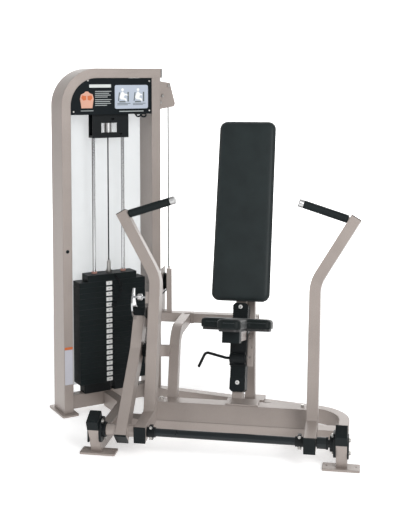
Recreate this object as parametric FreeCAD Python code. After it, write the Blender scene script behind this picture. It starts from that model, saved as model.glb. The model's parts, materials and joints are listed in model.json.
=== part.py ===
"""Chest press machine with a selectorised weight tower.

Frame: +Z up, millimetres.  The user faces -Y.  The floor is z = 0 and the
origin is the floor point under the middle of the bounding box.  Design
coordinates put x = 0 on the user's centre plane; OX, OY move them to the
origin when the pieces are written.
"""
import FreeCAD
import Part
import os
from math import sin, cos, tan, pi, radians, sqrt, atan2, degrees

V = FreeCAD.Vector
os.makedirs("parts", exist_ok=True)

# ------------------------------------------------------------------ dimensions
# tower
TOWER_X, TOWER_Y, TOWER_ROT = -932.0, 495.0, 39.0   # front left corner, turn about Z
TOWER_H = 1850.0          # overall height
TOWER_W = 575.0           # outside width over the uprights
TUBE_W, TUBE_D, WALL = 51.0, 152.0, 3.0
TOWER_BEND = 174.5        # centreline radius of the top left bend
BEAM_END = 580.0
STACK_T, STACK_D = 287.5, 60.0      # centre of the weight stack in the tower
ROD_SP, ROD_R = 171.0, 9.5
PLATE_W, PLATE_DEPTH, PLATE_H, PLATE_PITCH = 387.0, 104.0, 28.8, 29.4
N_PLATES, N_LIFT, STACK_Z0 = 19, 5, 148.0
HEAD_W, HEAD_H = 287.0, 36.0
PULLEY_R, PULLEY_W = 42.5, 22.0
UP_T, UP_Z = 602.0, 1700.0          # upper pulley centre
CEN_T = STACK_T + PULLEY_R          # centre pulley
CABLE_R = 3.5
# base
POST_L, POST_R, POST_LEAN = -624.0, 543.0, 25.0
RAIL_H0, RAIL_H1, RAIL_HW = 10.0, 86.0, 25.5
CROSS_Y0, CROSS_Y1 = 289.0, 365.0
BEAM_X0, BEAM_X1, BEAM_Y0, BEAM_Y1, BEAM_Z0, BEAM_Z1 = -406.0, 372.0, 350.0, 426.0, 86.0, 162.0
# pivot of the press arms
PY, PZ = 12.0, 127.0
SHAFT_R = 19.0
ARM_X, ARM_W, ARM_DEPTH, ARM_LEAN = 398.0, 54.0, 75.0, 13.2
ARM_Z_BEND, ARM_BEND, ARM_L2 = 800.0, 31.0, 375.0
LEVER_X, LEVER_W = -490.0, 54.0
# seat and back
POST_W, POST_DEPTH, SEAT_LEAN = 51.0, 76.0, 18.5
SPY, SPZ = 436.0, 162.0
PAD_W, PAD_S0, PAD_S1, PAD_T, BOARD_T = 300.0, 500.0, 1462.0, 50.0, 8.0
SEAT_Y, SEAT_Z, SEAT_TILT, SEAT_L, SEAT_T, SEAT_BOARD = 526.0, 568.0, 13.0, 403.0, 50.0, 12.0
SEAT_W, HORN_W, WING_L = 356.0, 118.0, 146.0
# design coordinates to the written frame
OX, OY = -215.91, 473.90

# ------------------------------------------------------------------ helpers
def box(x0, x1, y0, y1, z0, z1):
    return Part.makeBox(x1 - x0, y1 - y0, z1 - z0, V(x0, y0, z0))

def cyl(p, d, r, length):
    return Part.makeCylinder(r, length, V(*p), V(*d))

def unit(a):
    a = V(a)
    a.normalize()
    return a

def left(d):
    return (-d[1], d[0])

def ribbon(pts, radii, hw, ext=0.0):
    """Outline of a flat band of half width hw round a polyline with bends."""
    pts = [tuple(p) for p in pts]
    dirs = []
    for a, b in zip(pts[:-1], pts[1:]):
        L = sqrt((b[0] - a[0]) ** 2 + (b[1] - a[1]) ** 2)
        dirs.append(((b[0] - a[0]) / L, (b[1] - a[1]) / L))
    if ext:
        d = dirs[0]
        pts[0] = (pts[0][0] - d[0] * ext, pts[0][1] - d[1] * ext)
        d = dirs[-1]
        pts[-1] = (pts[-1][0] + d[0] * ext, pts[-1][1] + d[1] * ext)
    sides = []
    for h in (hw, -hw):
        segs = []
        n = left(dirs[0])
        cur = (pts[0][0] + h * n[0], pts[0][1] + h * n[1])
        for i in range(1, len(pts) - 1):
            d1, d2, v = dirs[i - 1], dirs[i], pts[i]
            R = radii[i - 1]
            cr = d1[0] * d2[1] - d1[1] * d2[0]
            dt = d1[0] * d2[0] + d1[1] * d2[1]
            th = atan2(cr, dt)
            sg = 1.0 if th > 0 else -1.0
            n1, n2 = left(d1), left(d2)
            if R <= 0:
                k = h / (1.0 + dt)
                q = (v[0] + k * (n1[0] + n2[0]), v[1] + k * (n1[1] + n2[1]))
                segs.append(("l", cur, q))
                cur = q
            else:
                L = R * tan(abs(th) / 2)
                t1 = (v[0] - d1[0] * L, v[1] - d1[1] * L)
                t2 = (v[0] + d2[0] * L, v[1] + d2[1] * L)
                c = (t1[0] + sg * R * n1[0], t1[1] + sg * R * n1[1])
                m = (v[0] - c[0], v[1] - c[1])
                ml = sqrt(m[0] ** 2 + m[1] ** 2)
                rr = R - sg * h
                a1 = (t1[0] + h * n1[0], t1[1] + h * n1[1])
                a2 = (t2[0] + h * n2[0], t2[1] + h * n2[1])
                am = (c[0] + rr * m[0] / ml, c[1] + rr * m[1] / ml)
                segs.append(("l", cur, a1))
                segs.append(("a", a1, am, a2))
                cur = a2
        n = left(dirs[-1])
        end = (pts[-1][0] + h * n[0], pts[-1][1] + h * n[1])
        segs.append(("l", cur, end))
        sides.append(segs)
    return sides

def band(O, e1, e2, nn, pts, radii, hw, n0, n1, ext=0.0):
    O, e1, e2, nn = V(*O), V(*e1), V(*e2), V(*nn)
    def m(p):
        return O + e1 * p[0] + e2 * p[1] + nn * n0
    lft, rgt = ribbon(pts, radii, hw, ext)
    edges = []
    def far(p, q):
        return abs(p[0] - q[0]) + abs(p[1] - q[1]) > 1e-6
    lft = [s for s in lft if s[0] == "a" or far(s[1], s[2])]
    rgt = [s for s in rgt if s[0] == "a" or far(s[1], s[2])]
    for s in lft:
        if s[0] == "l":
            edges.append(Part.LineSegment(m(s[1]), m(s[2])).toShape())
        else:
            edges.append(Part.Arc(m(s[1]), m(s[2]), m(s[3])).toShape())
    edges.append(Part.LineSegment(m(lft[-1][-1]), m(rgt[-1][-1])).toShape())
    for s in reversed(rgt):
        if s[0] == "l":
            edges.append(Part.LineSegment(m(s[2]), m(s[1])).toShape())
        else:
            edges.append(Part.Arc(m(s[3]), m(s[2]), m(s[1])).toShape())
    edges.append(Part.LineSegment(m(rgt[0][1]), m(lft[0][1])).toShape())
    f = Part.Face(Part.Wire(edges))
    s = f.extrude(nn * (n1 - n0))
    if s.Volume < 0:
        s.reverse()
    return s

def tube(O, e1, e2, nn, pts, radii, hw, n0, n1, wall=WALL):
    """Bent rectangular tube, open at both ends."""
    o = band(O, e1, e2, nn, pts, radii, hw, n0, n1)
    if wall:
        o = o.cut(band(O, e1, e2, nn, pts, radii, hw - wall, n0 + wall, n1 - wall, 5.0))
    return o

def box_tube(x0, x1, y0, y1, z0, z1, axis, wall=WALL):
    a = box(x0, x1, y0, y1, z0, z1)
    w = wall
    if axis == "x":
        b = box(x0 - 5, x1 + 5, y0 + w, y1 - w, z0 + w, z1 - w)
    elif axis == "y":
        b = box(x0 + w, x1 - w, y0 - 5, y1 + 5, z0 + w, z1 - w)
    else:
        b = box(x0 + w, x1 - w, y0 + w, y1 - w, z0 - 5, z1 + 5)
    return a.cut(b)

def rounded(s, r, test):
    es = [e for e in s.Edges if test(e)]
    try:
        f = s.makeFillet(r, es)
        if f.isValid() and f.Volume > 0:
            return f
    except Exception:
        pass
    return s

def along(e, d, tol=0.999):
    if len(e.Vertexes) < 2:
        return False
    v = e.Vertexes[1].Point - e.Vertexes[0].Point
    if v.Length < 1e-6:
        return False
    v.normalize()
    return abs(v.dot(V(*d))) > tol

def biggest(s):
    so = sorted(s.Solids, key=lambda q: -q.Volume)
    return so[0]

def group(items):
    out = []
    for i in items:
        out += i.Solids
    return Part.makeCompound(out)

TW = FreeCAD.Placement(V(TOWER_X, TOWER_Y, 0), FreeCAD.Rotation(V(0, 0, 1), TOWER_ROT))
def tw(s):
    c = s.copy()
    c.Placement = TW.multiply(c.Placement)
    return c

def twp(t, d, z):
    return TW.multVec(V(t, d, z))

# seat post frame: a up the post, p to the back
SL = radians(SEAT_LEAN)
SP = FreeCAD.Placement(V(0, SPY, SPZ), FreeCAD.Rotation(V(1, 0, 0), -SEAT_LEAN))
def sp(s):                      # local x, y = p (to the back), z = along the post
    c = s.copy()
    c.Placement = SP.multiply(c.Placement)
    return c

# seat frame: local x, y to the back along the cushion, z normal
SE = FreeCAD.Placement(V(0, SEAT_Y, SEAT_Z), FreeCAD.Rotation(V(1, 0, 0), -SEAT_TILT))
def se(s):
    c = s.copy()
    c.Placement = SE.multiply(c.Placement)
    return c

EX, EY, EZ = (1, 0, 0), (0, 1, 0), (0, 0, 1)
parts = {}

# ------------------------------------------------------------------ weight tower
hw = TUBE_W / 2
parts["tower_frame"] = tw(tube((0, 0, 0), EX, EZ, (0, 1, 0),
                              [(hw, 10), (hw, TOWER_H - hw), (BEAM_END, TOWER_H - hw)],
                              [TOWER_BEND], hw, 0, TUBE_D))
UR0, UR1 = TOWER_W - TUBE_W, TOWER_W
up = box_tube(UR0, UR1, 0, TUBE_D, 10, TOWER_H - TUBE_W, "z")
up = up.cut(cyl((UR0 - 10, STACK_D, UP_Z + PULLEY_R), EX, 9, 80))
up = up.cut(box(UR1 - 10, UR1 + 5, STACK_D - 13, STACK_D + 13, 1646, 1756))
parts["tower_upright_right"] = tw(up)
upright_solid = tw(box(UR0, UR1, 0, TUBE_D, 10, TOWER_H - TUBE_W))
bt = box_tube(TUBE_W, UR0, 34, 85, 20, 96, "x")
for t in (STACK_T - ROD_SP / 2, STACK_T + ROD_SP / 2):
    bt = bt.cut(cyl((t, STACK_D, 90), EZ, ROD_R, 20))
parts["tower_base_tube"] = tw(bt)
base_solid = tw(box(TUBE_W, UR0, 34, 85, 20, 96))
def foot(t0, t1):
    p = box(t0, t1, -30, 182, 0, 10)
    p = rounded(p, 8, lambda e: along(e, EZ))
    tm = (t0 + t1) / 2
    for d in (-15, 167):
        p = p.cut(cyl((tm, d, -5), EZ, 5.5, 20))
    return p
parts["tower_feet"] = group([tw(foot(-20, 71)), tw(foot(TOWER_W - 71, TOWER_W + 20))])
cap = box(BEAM_END, BEAM_END + 6, 0, TUBE_D, TOWER_H - TUBE_W, TOWER_H)
cap = cap.fuse(box(BEAM_END - 25, BEAM_END, WALL + .3, TUBE_D - WALL - .3, TOWER_H - TUBE_W + WALL + .3, TOWER_H - WALL - .3))
CAPS = [tw(cap)]
# name board between the uprights, follows the bend
r_in = TOWER_BEND - hw
ctr = (hw + TOWER_BEND, TOWER_H - hw - TOWER_BEND)
bx0, bx1, bz0, bz1 = TUBE_W + .5, UR0 - .5, 1605.0, TOWER_H - TUBE_W - .5
board = box(bx0, bx1, 2, 8, bz0, bz1)
crn = box(bx0 - 5, ctr[0], 0, 10, ctr[1], bz1 + 5).cut(cyl((ctr[0], -5, ctr[1]), EY, r_in - .6, 30))
board = board.cut(crn)
parts["instruction_board"] = tw(board)
# rear shroud
parts["rear_shroud"] = tw(rounded(box(25, TOWER_W - 25, TUBE_D, TUBE_D + 3, 112, TOWER_H - 90), 60, lambda e: along(e, EY) and e.BoundBox.ZMin > 1000 and e.BoundBox.XMax < 200))
# top bracket that holds the guide rods and the centre pulley
bt0, bt1, bzb = 188.0, 398.0, 1478.0
br = box(bt0, bt1, 32, 38, bzb, TOWER_H - TUBE_W).fuse(box(bt0, bt1, 84, 90, bzb, TOWER_H - TUBE_W))
br = br.fuse(box(bt0, bt1, 32, 90, bzb, bzb + 12)).fuse(box(bt0, bt1, 32, 90, TOWER_H - TUBE_W - 8, TOWER_H - TUBE_W))
br = br.cut(box(150, ctr[0], 0, 120, ctr[1], 1810).cut(cyl((ctr[0], -5, ctr[1]), EY, r_in - .05, 130)))
for a, b in ((238, 266), (309, 330)):
    br = br.cut(box(a, b, 20, 60, 1507, 1558))
for a, b in ((296, 316), (343, 361)):
    z = 1574 if a < 320 else 1492
    br = br.cut(box(a, b, 20, 100, z, z + 9))
br = br.cut(box(225, 375, 60, 100, 1504, 1566))
br = br.cut(box(266, 309, 20, 50, 1507, 1558))
br = br.cut(box(bt0 + 14, bt1 - 14, 20, 60, 1611, 1780))
for t in (STACK_T - ROD_SP / 2, STACK_T + ROD_SP / 2):
    br = br.cut(cyl((t, STACK_D, bzb - 5), EZ, ROD_R, 40))
br = br.cut(cyl((STACK_T, STACK_D, bzb - 5), EZ, 9, 40))
parts["rod_bracket"] = br
rodtop = bzb + 12
parts["guide_rods"] = tw(group([cyl((t, STACK_D, 93), EZ, ROD_R, rodtop - 93) for t in (STACK_T - ROD_SP / 2, STACK_T + ROD_SP / 2)]))
gb = cyl((STACK_T, STACK_D, 1490), EZ, 20, 76).cut(cyl((STACK_T, STACK_D, 1470), EZ, CABLE_R + .5, 120))
parts["guide_bush"] = tw(gb)
# pulleys: grooved wheels
def pulley(r, w, bore):
    prof = [(bore, -w / 2), (r + 5, -w / 2), (r + 5, -w / 2 + 3), (r - .1, -4.2), (r - .1, 4.2), (r + 5, w / 2 - 3), (r + 5, w / 2), (bore, w / 2), (bore, -w / 2)]
    wire = Part.makePolygon([V(a, 0, b) for a, b in prof])
    s = Part.Face(wire).revolve(V(0, 0, 0), V(0, 0, 1), 360)
    if s.Volume < 0:
        s.reverse()
    for k in range(5):
        a = 2 * pi * k / 5
        s = s.cut(cyl((r * .58 * cos(a), r * .58 * sin(a), -w), EZ, r * .17, 2 * w))
    return s
def turned(s, t, d, z):           # wheel axis along the tower depth
    c = s.copy()
    c.Placement = FreeCAD.Placement(V(t, d, z), FreeCAD.Rotation(V(1, 0, 0), 90))
    return tw(c)
pw = pulley(PULLEY_R + CABLE_R, PULLEY_W, 8.05)
PR = PULLEY_R + CABLE_R           # centre to cable axis
pw = pulley(PULLEY_R, PULLEY_W, 8.05)
# the cable axis runs PULLEY_R + CABLE_R from each centre
RC = PULLEY_R + CABLE_R
UPT, CNT = 654.0 - RC, STACK_T + RC
VC_T = 654.0
br_pin = lambda t, z, d0, d1: tw(cyl((t, d0, z), EY, 8, d1 - d0))
parts["upper_pulley"] = turned(pw, UPT, STACK_D, UP_Z)
parts["centre_pulley"] = turned(pw, CNT, STACK_D, UP_Z)
br = parts["rod_bracket"].cut(box(CNT - 60, CNT + 60, 44, 78, 1640, 1760)).cut(cyl((CNT, 20, UP_Z), EY, 8, 90))
br = br.cut(cyl((STACK_T, STACK_D, 1560), EZ, 9, 240))
parts["rod_bracket"] = tw(br.removeSplitter())
# the centre pulley turns between two cheeks hung from the beam
# upper pulley bracket outside the right upright: two cheeks
def cheek(d0, d1):
    pts = [(TOWER_W, 1784), (656, 1771), (688, 1656), (680, 1640), (TOWER_W, 1624)]
    w = Part.makePolygon([V(a, d0, b) for a, b in pts] + [V(pts[0][0], d0, pts[0][1])])
    f = Part.Face(w).extrude(V(0, d1 - d0, 0))
    return f
ub = cheek(STACK_D - 20, STACK_D - 15).fuse(cheek(STACK_D + 15, STACK_D + 20))
ub = ub.fuse(box(TOWER_W, TOWER_W + 5, STACK_D - 20, STACK_D + 20, 1624, 1638))
ub = ub.cut(cyl((UPT, 0, UP_Z), EY, 8, 120))
parts["upper_pulley_bracket"] = tw(ub.removeSplitter())
# stack
def rodholes(s, z0, r):
    for t in (STACK_T - ROD_SP / 2, STACK_T + ROD_SP / 2):
        s = s.cut(cyl((t, STACK_D, z0 - 5), EZ, r, 80))
    return s
def plate(k):                       # k = 0 at the top of the lower stack
    z1 = STACK_Z0 + (N_PLATES - k) * PLATE_PITCH
    z0 = z1 - PLATE_H
    s = box(STACK_T - PLATE_W / 2, STACK_T + PLATE_W / 2, STACK_D - PLATE_DEPTH / 2, STACK_D + PLATE_DEPTH / 2 - 14, z0, z1)
    s = rodholes(s, z0, 13)
    s = s.cut(cyl((STACK_T, STACK_D, z0 - 5), EZ, 14, 60))
    s = s.cut(cyl((STACK_T, STACK_D - PLATE_DEPTH / 2 - 5, (z0 + z1) / 2), EY, 4.95, PLATE_DEPTH / 2 + 5))
    return s
parts["lifted_plates"] = tw(group([plate(k) for k in range(N_LIFT)]))
parts["resting_plates"] = tw(group([plate(k) for k in range(N_LIFT, N_PLATES)]))
HZ0 = STACK_Z0 + N_PLATES * PLATE_PITCH + .5
HZ1 = HZ0 + HEAD_H
hp = box(STACK_T - HEAD_W / 2, STACK_T + HEAD_W / 2, STACK_D - 54, STACK_D + 38, HZ0, HZ1)
hp = rounded(hp, 6, lambda e: along(e, EZ))
hp = rodholes(hp, HZ0, 13)
hp = hp.cut(cyl((STACK_T, STACK_D, HZ0 - 5), EZ, 12, 80))
def bush(t):
    b = cyl((t, STACK_D, HZ0), EZ, 13, HEAD_H).fuse(cyl((t, STACK_D, HZ1), EZ, 15, 9))
    return b.cut(cyl((t, STACK_D, HZ0 - 5), EZ, ROD_R + .06, HEAD_H + 40))
parts["head_bushes"] = tw(group([bush(t) for t in (STACK_T - ROD_SP / 2, STACK_T + ROD_SP / 2)]))
parts["head_plate"] = tw(hp)
ZS0 = STACK_Z0 + (N_PLATES - N_LIFT) * PLATE_PITCH + 4
PIN_Z = STACK_Z0 + (N_PLATES - N_LIFT + 1) * PLATE_PITCH - PLATE_H / 2
stem = cyl((STACK_T, STACK_D, STACK_Z0 + 20), EZ, 12, HZ1 - STACK_Z0 - 20)
for k in range(N_PLATES):
    z1 = STACK_Z0 + (N_PLATES - k) * PLATE_PITCH
    stem = stem.cut(cyl((STACK_T, STACK_D - 20, z1 - PLATE_H / 2), EY, 4.95, 40))
fit = cyl((STACK_T, STACK_D, HZ1), EZ, 15, 16).fuse(cyl((STACK_T, STACK_D, HZ1 + 16), EZ, 11, 38))
fit = fit.fuse(Part.makeCone(11, 6, 12, V(STACK_T, STACK_D, HZ1 + 54), V(0, 0, 1)))
fit = fit.cut(cyl((STACK_T, STACK_D, HZ1 + 36), EZ, CABLE_R, 60))
parts["selector_stem"] = tw(stem.fuse(fit).removeSplitter())
pin = cyl((STACK_T, STACK_D - PLATE_DEPTH / 2 - 6, PIN_Z), EY, 4.9, PLATE_DEPTH / 2 + 19)
knob = cyl((STACK_T, STACK_D - PLATE_DEPTH / 2 - 34, PIN_Z), EY, 12, 28)
knob = rounded(knob, 4, lambda e: True)
parts["selector_pin"] = tw(pin)
parts["selector_knob"] = tw(knob)
def cush(t):
    b = rounded(box(t - 76, t + 76, 20, 98, 96, STACK_Z0), 8, lambda e: along(e, EZ))
    return b.cut(cyl((t, STACK_D, 90), EZ, ROD_R, 90))
CUSH = [tw(cush(t)) for t in (STACK_T - ROD_SP / 2, STACK_T + ROD_SP / 2)]

# cables
zc1 = UP_Z
cz0 = HZ1 + 36
def cable(p, q, r=CABLE_R):
    p, q = V(*p), V(*q)
    d = q - p
    return Part.makeCylinder(r, d.Length, p, d)
parts["cable_stack_run"] = tw(cyl((STACK_T, STACK_D, cz0), EZ, CABLE_R, UP_Z - cz0))
def torus_quarter(cx, cz, a0, a1):
    """Cable wrapped round a pulley in the tower plane."""
    R = RC
    def P(a):
        return V(cx + R * cos(a), STACK_D, cz + R * sin(a))
    arc = Part.Arc(P(a0), P((a0 + a1) / 2), P(a1)).toShape()
    w = Part.Wire([arc])
    tan_ = V(-sin(a0), 0, cos(a0))
    prof = Part.Wire([Part.makeCircle(CABLE_R, P(a0), tan_)])
    s = w.makePipeShell([prof], True, False)
    if s.Volume < 0:
        s.reverse()
    return s
top_run = cyl((CNT, STACK_D, UP_Z + RC), EX, CABLE_R, UPT - CNT)
arc1 = torus_quarter(CNT, UP_Z, pi / 2, pi)
arc2 = torus_quarter(UPT, UP_Z, 0, pi / 2)
LP_Z = 663.0
vert = cyl((VC_T, STACK_D, LP_Z), EZ, CABLE_R, UP_Z - LP_Z)
tower_run = tw(group([top_run, arc1, arc2, vert]))
# lower pulley: wheel axis along x, cable comes down at its back
vcp = twp(VC_T, STACK_D, 0)
LPX, LPY = vcp.x, vcp.y - RC
lp = pw.copy()
lp.Placement = FreeCAD.Placement(V(LPX, LPY, LP_Z), FreeCAD.Rotation(V(0, 1, 0), 90))
parts["lower_pulley"] = lp
def plane_arc(x, cy, cz, R, a0, a1):
    def P(a):
        return V(x, cy + R * cos(a), cz + R * sin(a))
    arc = Part.Arc(P(a0), P((a0 + a1) / 2), P(a1)).toShape()
    prof = Part.Wire([Part.makeCircle(CABLE_R, P(a0), V(0, -sin(a0), cos(a0)))])
    s = Part.Wire([arc]).makePipeShell([prof], True, False)
    if s.Volume < 0:
        s.reverse()
    return s
LEVTOP_Y, LEVTOP_Z = 441.0, 603.5
low_arc = plane_arc(LPX, LPY, LP_Z, RC, -pi / 2, 0)
low_run = cyl((LPX, 452, LP_Z - RC), EY, CABLE_R, LPY - 452)
whole = low_run.fuse(low_arc).fuse(tower_run.Solids)
parts["cable_tower_run"] = biggest(whole.removeSplitter()) if len(whole.Solids) == 1 else group([whole])

# ------------------------------------------------------------------ base frame
def post(xc):
    a = radians(POST_LEAN)
    o = box(xc - 25.5, xc + 25.5, 0, 76, -60, 185)
    i = box(xc - 22.5, xc + 22.5, 3, 73, -70, 195)
    pl = FreeCAD.Placement(V(0, 24, 10), FreeCAD.Rotation(V(1, 0, 0), POST_LEAN))
    o.Placement = pl
    i.Placement = pl
    solid = o.cut(box(-2000, 2000, -500, 500, -300, 10))
    return solid, solid.cut(i), pl
sl, tl, pl_l = post(POST_L)
sr, tr, pl_r = post(POST_R)
parts["front_post_left"] = tl
parts["front_post_right"] = tr
def post_cap(xc, pl):
    c = box(xc - 28, xc + 28, -2.5, 78.5, 140, 193)
    c = rounded(c, 5, lambda e: e.BoundBox.ZMin > 192.9)
    c = c.cut(box(xc - 25.5, xc + 25.5, 0, 76, 100, 185))
    c.Placement = pl
    return c
CAPS += [post_cap(POST_L, pl_l), post_cap(POST_R, pl_r)]
def fplate(xc, hx):
    p = box(xc - 86.5, xc + 86.5, 1, 79, 0, 10)
    p = rounded(p, 6, lambda e: along(e, EZ))
    for s in (-67.5, 67.5):
        p = p.cut(cyl((xc + s, 45, -5), EZ, 5.5, 20))
    return p
FPL, FPR = -616.5, 540.5
parts["floor_plates"] = group([fplate(FPL, 0), fplate(FPR, 0)])
# right rail: forward leg, bend, long run back to the tower
rr = tube((0, 0, 0), EX, EY, EZ, [(POST_R, 30), (POST_R, 596), (-545, 827.2)], [180], RAIL_HW, RAIL_H0, RAIL_H1)
parts["base_rail_right"] = sorted(rr.cut(sr).cut(tw(box(-500, 900, 0, 600, -50, 300))).Solids, key=lambda q: -q.Volume)[0]
rl = tube((0, 0, 0), EX, EY, EZ, [(POST_L, 30), (POST_L, 540), (-751.0, 696.8)], [100], RAIL_HW, RAIL_H0, RAIL_H1)
parts["base_rail_left"] = biggest(rl.cut(sl).cut(tw(box(-500, 900, 34, 600, -50, 300))))
cross = box_tube(POST_L + 25.5, POST_R - 25.5, CROSS_Y0, CROSS_Y1, 35, RAIL_H1, "x")
sb = box_tube(BEAM_X0, BEAM_X1, BEAM_Y0, BEAM_Y1, BEAM_Z0, BEAM_Z1, "x")
beam_solid = box(BEAM_X0, BEAM_X1, BEAM_Y0, BEAM_Y1, BEAM_Z0, BEAM_Z1)
# sloped apron from the beam's top edge down to the cross tube, with closed ends
def yz(pts, x0, x1):
    return Part.Face(Part.makePolygon([V(x0, a, b) for a, b in pts + pts[:1]])).extrude(V(x1 - x0, 0, 0))
AP = [(BEAM_Y0, BEAM_Z1), (CROSS_Y0 + 1.5, BEAM_Z0), (CROSS_Y0 + 7, BEAM_Z0), (BEAM_Y0, BEAM_Z1 - 7)]
AE = [(BEAM_Y0, BEAM_Z1), (CROSS_Y0 + 1.5, BEAM_Z0), (BEAM_Y0, BEAM_Z0)]
sb = sb.fuse([yz(AP, BEAM_X0, BEAM_X1), yz(AE, BEAM_X0, BEAM_X0 + 3), yz(AE, BEAM_X1 - 3, BEAM_X1)]).removeSplitter()
parts["seat_beam"] = sb
def bcap(x0, x1, s):
    c = box(x0, x1, BEAM_Y0, BEAM_Y1, BEAM_Z0, BEAM_Z1)
    if s > 0:
        c = c.fuse(box(x0 - 20, x0, BEAM_Y0 + 3.3, BEAM_Y1 - 3.3, BEAM_Z0 + 3.3, BEAM_Z1 - 3.3))
    else:
        c = c.fuse(box(x1, x1 + 20, BEAM_Y0 + 3.3, BEAM_Y1 - 3.3, BEAM_Z0 + 3.3, BEAM_Z1 - 3.3))
    return c
CAPS += [bcap(BEAM_X0 - 4, BEAM_X0, -1), bcap(BEAM_X1, BEAM_X1 + 4, 1)]
parts["tube_caps"] = group(CAPS)
risers = [box(x - 28, x + 28, CROSS_Y1, BEAM_Y1, 0, BEAM_Z0) for x in (-378, 344)]
parts["cross_tube"] = cross.fuse(risers).removeSplitter()
BOLTS = []
def bolt(x, y, z, d):
    """Hexagon head, washer face at the point, along d."""
    pts = [V(9.5 * cos(radians(60 * k + 30)), 9.5 * sin(radians(60 * k + 30)), 0) for k in range(7)]
    h = Part.Face(Part.makePolygon(pts)).extrude(V(0, 0, 8))
    h = h.fuse(Part.makeCylinder(11, 1.6)).removeSplitter()
    h.Placement = FreeCAD.Placement(V(x, y, z), FreeCAD.Rotation(V(0, 0, 1), V(*d)))
    return h
BOLTS += [bolt(-384, 402, BEAM_Z1, EZ), bolt(336, 402, BEAM_Z1, EZ)]
# tie tube from the tower to the column, and the stub between them
tie = box_tube(-560, 63.5, 830, 881, 452, 503, "x")
parts["tie_tube"] = biggest(tie.cut(upright_solid))
COLX0, COLX1, COLY0, COLY1 = 12.5, 63.5, 672.0, 723.0
post_o = sp(box(-POST_W / 2, POST_W / 2, 0, POST_DEPTH, -120, 1250))
col = box_tube(COLX0, COLX1, COLY0, COLY1, 96, 800, "z")
colb = biggest(col.cut(post_o))
stub = box_tube(COLX0, COLX1, COLY1, 830, 452, 503, "y")
cbp = rounded(box(-54, 116, 655, 746, RAIL_H1, 96), 6, lambda e: along(e, EZ))
parts["back_column"] = colb.fuse([stub, cbp]).removeSplitter()
# bent brace from the tie tube forward and down to the seat beam
BR0, BR1 = -361.5, -311.5
brace_pts = [(830, 477.5), (539, 477.5), (445, 100), (430, 39.8)]
brc = tube((0, 0, 0), EY, EZ, (1, 0, 0), brace_pts[:3], [100], 25.5, BR0, BR1)
brc = tube((0, 0, 0), EY, EZ, (1, 0, 0), [(830, 477.5), (539, 477.5), (430, 39.8)], [100], 25.5, BR0, BR1)
brc = brc.cut(box(-500, 0, 0, BEAM_Y1, -100, 300)).cut(box(-500, 0, 300, 700, -100, 88))
parts["bent_brace"] = biggest(brc)
brace_solid = band((0, 0, 0), EY, EZ, (1, 0, 0), [(830, 477.5), (539, 477.5), (430, 39.8)], [100], 25.5, BR0, BR1)
# curved stop bracket from the brace round behind the left press arm
sbk = band((0, 0, 356), EX, EY, EZ, [(BR0 + 5, 500), (-447, 500), (-447, 350)], [70], 12.5, 0, 56)
sbk = sbk.fuse(box(-460, -434, 350, 358, 356, 465)).removeSplitter().cut(brace_solid)
sbk = sorted(sbk.Solids, key=lambda q: q.BoundBox.XMin)[0]
parts["stop_bracket"] = sbk
# seat post and what is on it
spost = sp(box(-POST_W / 2, POST_W / 2, 0, POST_DEPTH, -120, 1250).cut(box(-POST_W / 2 + 3, POST_W / 2 - 3, 3, POST_DEPTH - 3, -130, 1260)))
spost = spost.cut(beam_solid).cut(box(-200, 200, 0, BEAM_Y1, -200, BEAM_Z1)).cut(box(-200, 200, 0, 900, -200, 88))
shoe = box(-47, 116, BEAM_Y0 + 2, 446, BEAM_Z1, BEAM_Z1 + 8)
parts["seat_post"] = biggest(spost).fuse(shoe).removeSplitter()
def cover(s0, s1, taper):
    o = box(-39.5, 39.5, -14, 90, s0, s1)
    es = [e for e in o.Edges if along(e, EY) and abs(e.BoundBox.ZMax - (s0 if taper else s1)) < .01]
    o = o.makeChamfer(12, es)
    for k in range(5):
        zc = (112 if taper else 408) + k * 11
        g = box(-60, 60, -30, 110, zc, zc + 5).cut(box(-37.5, 37.5, -12, 88, zc - 1, zc + 6))
        o = o.cut(g)
    return o.cut(box(-25.5, 25.5, 0, 76, s0 - 5, s1 + 5))
colo = box(COLX0 - .3, COLX1 + .3, COLY0 - .3, COLY1 + .3, 96, 800)
parts["slide_covers"] = group([sp(cover(42, 262, True)), biggest(sp(cover(262.2, 492, False)).cut(colo))])
# carriage
BARREL_S = 208.0
car = box(-44, 44, -24, 100, 172, 352)
car = rounded(car, 6, lambda e: along(e, EZ))
car = car.cut(box(-39.6, 39.6, -14.1, 90.1, 160, 360))
car = car.fuse(cyl((-37, -36, BARREL_S), EX, 30, 76)).cut(cyl((-40, -36, BARREL_S), EX, 7.05, 100))
car = car.cut(box(-39.6, 39.6, -14.1, 90.1, 160, 360))
parts["seat_carriage"] = sp(car)
car_o = sp(box(-44, 44, -24, 300, 0, 700))
arm = se(box(-38, 38, -296, 60, -112, -62.2)).cut(se(box(-34, 34, -300, 80, -108, -66)))
sarm = biggest(arm.cut(car_o))
side = sp(rounded(box(44, 74, 4, 10, 170, 340), 6, lambda e: along(e, EY)))
for hx, hs in ((55, 316), (63, 266), (55, 218)):
    side = side.cut(sp(cyl((hx, 0, hs), EY, 5.5, 20)))
parts["seat_arm"] = group([sarm, side])
parts["seat_arm_cap"] = se(rounded(box(-43, 43, -306, -230, -118, -62.2), 5, lambda e: along(e, EZ)).cut(box(-38, 38, -296, -200, -112, -62.2)))
def seat_outline(z0, z1, inset=0.0):
    i = inset
    w = box(-SEAT_W / 2 + i, SEAT_W / 2 - i, -WING_L + i, 0 - i, z0, z1)
    w = rounded(w, 26, lambda e: along(e, EZ))
    h = box(-HORN_W / 2 + i, HORN_W / 2 - i, -SEAT_L + i, -40, z0, z1)
    h = rounded(h, 30, lambda e: along(e, EZ) and e.BoundBox.YMin < -300)
    return w.fuse(h).removeSplitter()
parts["seat_board"] = se(seat_outline(-62, -50.3, 8))
parts["seat_cushion"] = se(seat_outline(-50, 0))
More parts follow.
